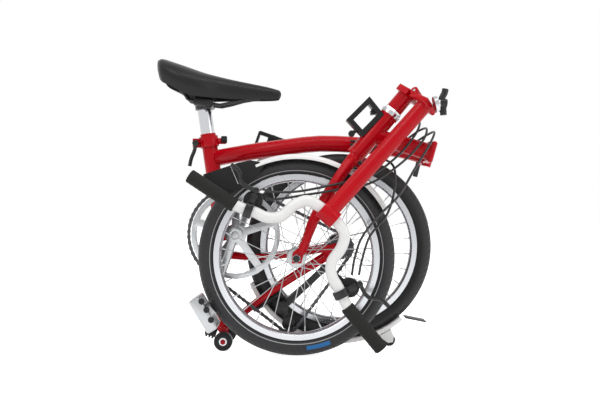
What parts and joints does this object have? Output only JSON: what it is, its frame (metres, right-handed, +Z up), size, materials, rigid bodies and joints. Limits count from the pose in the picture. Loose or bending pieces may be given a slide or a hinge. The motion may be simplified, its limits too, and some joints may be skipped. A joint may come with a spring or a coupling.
{
  "type": "folding bicycle",
  "caption": "Small-wheeled folding bicycle shown folded, with hinged frame and handlepost, sliding seatpost, folding pedal, mudguards, brakes, chain and transport rollers.",
  "frame": {"origin": "contact point of the folded bicycle's front tyre with the floor", "axes": "+X towards the chainless front end (image right), +Y away from the viewer across the bicycle's thickness, +Z up; the main tube lies in the XZ plane"},
  "size_m": [0.6195, 0.3195, 0.6476],
  "materials": {
    "red_paint": "gloss red paint",
    "white_paint": "gloss white",
    "chrome": "polished chrome",
    "silver": "satin alloy",
    "black_metal": "black coated metal",
    "black_plastic": "moulded black plastic",
    "grip_foam": "black foam",
    "tyre_rubber": "black tread rubber",
    "saddle_cover": "smooth black cover",
    "chain_steel": "dark oiled steel",
    "cable_black": "black cable housing"
  },
  "bodies": {
    "main_frame": {"chain": "chain_steel", "front_brake_cable": "cable_black", "hub_gear_cable": "cable_black", "main_frame": "red_paint", "main_hinge_pin": "silver", "rear_brake_cable": "cable_black", "rear_gear_cable": "cable_black", "seat_clamp": "red_paint"},
    "seat_lever": {"seat_clamp_lever": "black_metal"},
    "main_clamp": {"main_hinge_clamp_lever": "black_metal"},
    "seatpost": {"saddle": "saddle_cover", "saddle_clamp_and_rails": "black_metal", "seatpost": "chrome"},
    "cranks": {"chainring": "silver", "left_crank": "silver", "right_crank": "silver"},
    "right_pedal": {"right_pedal": "silver"},
    "left_pedal_arm": {"left_pedal_bracket": "silver"},
    "left_pedal": {"left_pedal": "black_plastic"},
    "rear_frame": {"rear_axle": "silver", "rear_frame": "red_paint", "rear_mudguard": "white_paint", "rear_mudguard_flap": "black_plastic", "rear_pivot_bolt": "silver", "rear_roller_bracket": "white_paint", "suspension_block": "black_plastic"},
    "rear_roller": {"rear_roller": "black_plastic"},
    "right_roller": {"right_roller": "black_plastic"},
    "left_roller": {"left_roller": "black_plastic"},
    "rear_wheel": {"rear_rim_and_spokes": "silver", "rear_tyre": "tyre_rubber"},
    "tensioner": {"tensioner": "black_metal"},
    "rear_brake_right": {"rear_brake_arm_right": "black_metal"},
    "rear_brake_left": {"rear_brake_arm_left": "black_metal"},
    "front_frame": {"carrier_block": "black_plastic", "front_frame": "red_paint"},
    "carrier_catch": {"carrier_catch": "black_plastic"},
    "fork": {"fork": "red_paint", "front_axle": "silver", "front_mudguard": "white_paint", "front_mudguard_flap": "black_plastic", "handlepost_hinge_pin": "silver", "stem_base": "red_paint"},
    "front_brake_right": {"front_brake_arm_right": "black_metal"},
    "front_brake_left": {"front_brake_arm_left": "black_metal"},
    "front_wheel": {"front_rim_and_spokes": "silver", "front_tyre": "tyre_rubber"},
    "handlepost": {"handlebar": "white_paint", "handlepost": "red_paint", "left_brake_bracket": "black_metal", "left_grip": "grip_foam", "left_shifter": "black_plastic", "right_brake_bracket": "black_metal", "right_grip": "grip_foam", "right_shifter": "black_plastic"},
    "handlepost_clamp": {"handlepost_clamp_lever": "black_metal"},
    "left_brake_lever": {"left_brake_lever": "black_metal"},
    "left_shift_lever": {"left_shift_lever": "black_plastic"},
    "right_brake_lever": {"right_brake_lever": "black_metal"},
    "right_shift_lever": {"right_shift_lever": "black_plastic"}
  },
  "joints": [
    {"name": "seat_height", "type": "slide", "parent": "main_frame", "child": "seatpost", "axis": [-0.1435, 0, 0.9897], "range_m": [-0.045, 0.17]},
    {"name": "seat_lever_turn", "type": "hinge", "parent": "main_frame", "child": "seat_lever", "pos_m": [-0.22679, 0.11, 0.458], "axis": [0, 1, 0], "range_deg": [0, 110]},
    {"name": "main_clamp_turn", "type": "hinge", "parent": "main_frame", "child": "main_clamp", "pos_m": [0.28623, 0.147, 0.43163], "axis": [0, 1, 0], "range_deg": [0, 170]},
    {"name": "crank_turn", "type": "hinge", "parent": "main_frame", "child": "cranks", "pos_m": [-0.134, 0.11, 0.2544], "axis": [0, 1, 0], "range_deg": [0, 140], "deforming": ["chain"]},
    {"name": "right_pedal_turn", "type": "hinge", "parent": "cranks", "child": "right_pedal", "pos_m": [-0.1901, 0, 0.09392], "axis": [0, 1, 0], "range_deg": [-5, 5]},
    {"name": "left_pedal_fold", "type": "hinge", "parent": "cranks", "child": "left_pedal_arm", "pos_m": [-0.07856, 0.194, 0.41299], "axis": [-0.944, 0, 0.33], "range_deg": [0, 90]},
    {"name": "left_pedal_turn", "type": "hinge", "parent": "left_pedal_arm", "child": "left_pedal", "pos_m": [-0.07856, 0.204, 0.41299], "axis": [0.33, 0, 0.944], "range_deg": [-12, 12]},
    {"name": "rear_fold", "type": "hinge", "parent": "main_frame", "child": "rear_frame", "pos_m": [-0.209, 0.11, 0.222], "axis": [0, 1, 0], "range_deg": [0, 178.5], "deforming": ["chain", "rear_gear_cable", "rear_brake_cable", "hub_gear_cable", "front_brake_cable"]},
    {"name": "rear_wheel_spin", "type": "hinge", "parent": "rear_frame", "child": "rear_wheel", "pos_m": [0.095, 0.11, 0.2258], "axis": [0, 1, 0], "continuous": true},
    {"name": "rear_roller_spin", "type": "hinge", "parent": "rear_frame", "child": "rear_roller", "pos_m": [0.209, 0.11, 0.0142], "axis": [0, 1, 0], "continuous": true},
    {"name": "right_roller_spin", "type": "hinge", "parent": "rear_frame", "child": "right_roller", "pos_m": [-0.161, 0.054, 0.0204], "axis": [0, 1, 0], "continuous": true},
    {"name": "left_roller_spin", "type": "hinge", "parent": "rear_frame", "child": "left_roller", "pos_m": [-0.161, 0.166, 0.0204], "axis": [0, 1, 0], "continuous": true},
    {"name": "tensioner_swing", "type": "hinge", "parent": "rear_frame", "child": "tensioner", "pos_m": [0.06, 0.07, 0.178], "axis": [0, 1, 0], "range_deg": [-8, 8], "stiffness_Nm_per_rad": 2},
    {"name": "rear_brake_right_swing", "type": "hinge", "parent": "rear_frame", "child": "rear_brake_right", "pos_m": [-0.09216, 0.099, 0.08498], "axis": [0.5683, 0, -0.8228], "range_deg": [-1.5, 0]},
    {"name": "rear_brake_left_swing", "type": "hinge", "parent": "rear_frame", "child": "rear_brake_left", "pos_m": [-0.09216, 0.121, 0.08498], "axis": [0.5683, 0, -0.8228], "range_deg": [0, 1.5]},
    {"name": "main_fold", "type": "hinge", "parent": "main_frame", "child": "front_frame", "pos_m": [0.292, 0.055, 0.43], "axis": [0.272, 0, 0.9623], "range_deg": [0, 180], "deforming": ["rear_gear_cable", "rear_brake_cable", "hub_gear_cable", "front_brake_cable"]},
    {"name": "steer_turn", "type": "hinge", "parent": "front_frame", "child": "fork", "pos_m": [0.16165, 0, 0.46776], "axis": [0.6445, 0, 0.7646], "range_deg": [-180, 0]},
    {"name": "front_wheel_spin", "type": "hinge", "parent": "fork", "child": "front_wheel", "pos_m": [0, 0, 0.209], "axis": [0, 1, 0], "continuous": true},
    {"name": "front_brake_right_swing", "type": "hinge", "parent": "fork", "child": "front_brake_right", "pos_m": [0.14355, -0.011, 0.39404], "axis": [-0.7646, 0, 0.6445], "range_deg": [-1.5, 0]},
    {"name": "front_brake_left_swing", "type": "hinge", "parent": "fork", "child": "front_brake_left", "pos_m": [0.14355, 0.011, 0.39404], "axis": [-0.7646, 0, 0.6445], "range_deg": [0, 1.5]},
    {"name": "handlepost_fold", "type": "hinge", "parent": "fork", "child": "handlepost", "pos_m": [0.25634, -0.021, 0.54751], "axis": [-0.5024, -0.7059, 0.4993], "range_deg": [0, 176], "deforming": ["rear_gear_cable", "rear_brake_cable", "hub_gear_cable", "front_brake_cable"]},
    {"name": "handlepost_clamp_turn", "type": "hinge", "parent": "handlepost", "child": "handlepost_clamp", "pos_m": [0.28517, -0.06471, 0.51543], "axis": [0.5407, -0.7071, -0.4557], "range_deg": [0, 90]},
    {"name": "left_brake_squeeze", "type": "hinge", "parent": "handlepost", "child": "left_brake_lever", "pos_m": [-0.08083, -0.086, 0.34963], "axis": [0, 1, 0], "range_deg": [-20, 0], "stiffness_Nm_per_rad": 0.5},
    {"name": "right_brake_squeeze", "type": "hinge", "parent": "handlepost", "child": "right_brake_lever", "pos_m": [0.12834, -0.086, 0.16074], "axis": [0, 1, 0], "range_deg": [0, 20], "stiffness_Nm_per_rad": 0.5},
    {"name": "left_shift", "type": "hinge", "parent": "handlepost", "child": "left_shift_lever", "pos_m": [-0.0888, -0.058, 0.32912], "axis": [0, 1, 0], "range_deg": [-60, 60]},
    {"name": "right_shift", "type": "hinge", "parent": "handlepost", "child": "right_shift_lever", "pos_m": [0.10875, -0.058, 0.15074], "axis": [0, 1, 0], "range_deg": [-60, 60]},
    {"name": "carrier_catch_turn", "type": "hinge", "parent": "front_frame", "child": "carrier_catch", "pos_m": [0.16025, 0, 0.51419], "axis": [0, 1, 0], "range_deg": [-20, 20], "stiffness_Nm_per_rad": 0.2}
  ],
  "couplings": [
    {"joint": "steer_turn", "follows": "main_fold", "ratio": -1},
    {"joint": "rear_brake_right_swing", "follows": "left_brake_squeeze", "ratio": 0.075},
    {"joint": "rear_brake_left_swing", "follows": "left_brake_squeeze", "ratio": -0.075},
    {"joint": "front_brake_right_swing", "follows": "right_brake_squeeze", "ratio": -0.075},
    {"joint": "front_brake_left_swing", "follows": "right_brake_squeeze", "ratio": 0.075}
  ]
}
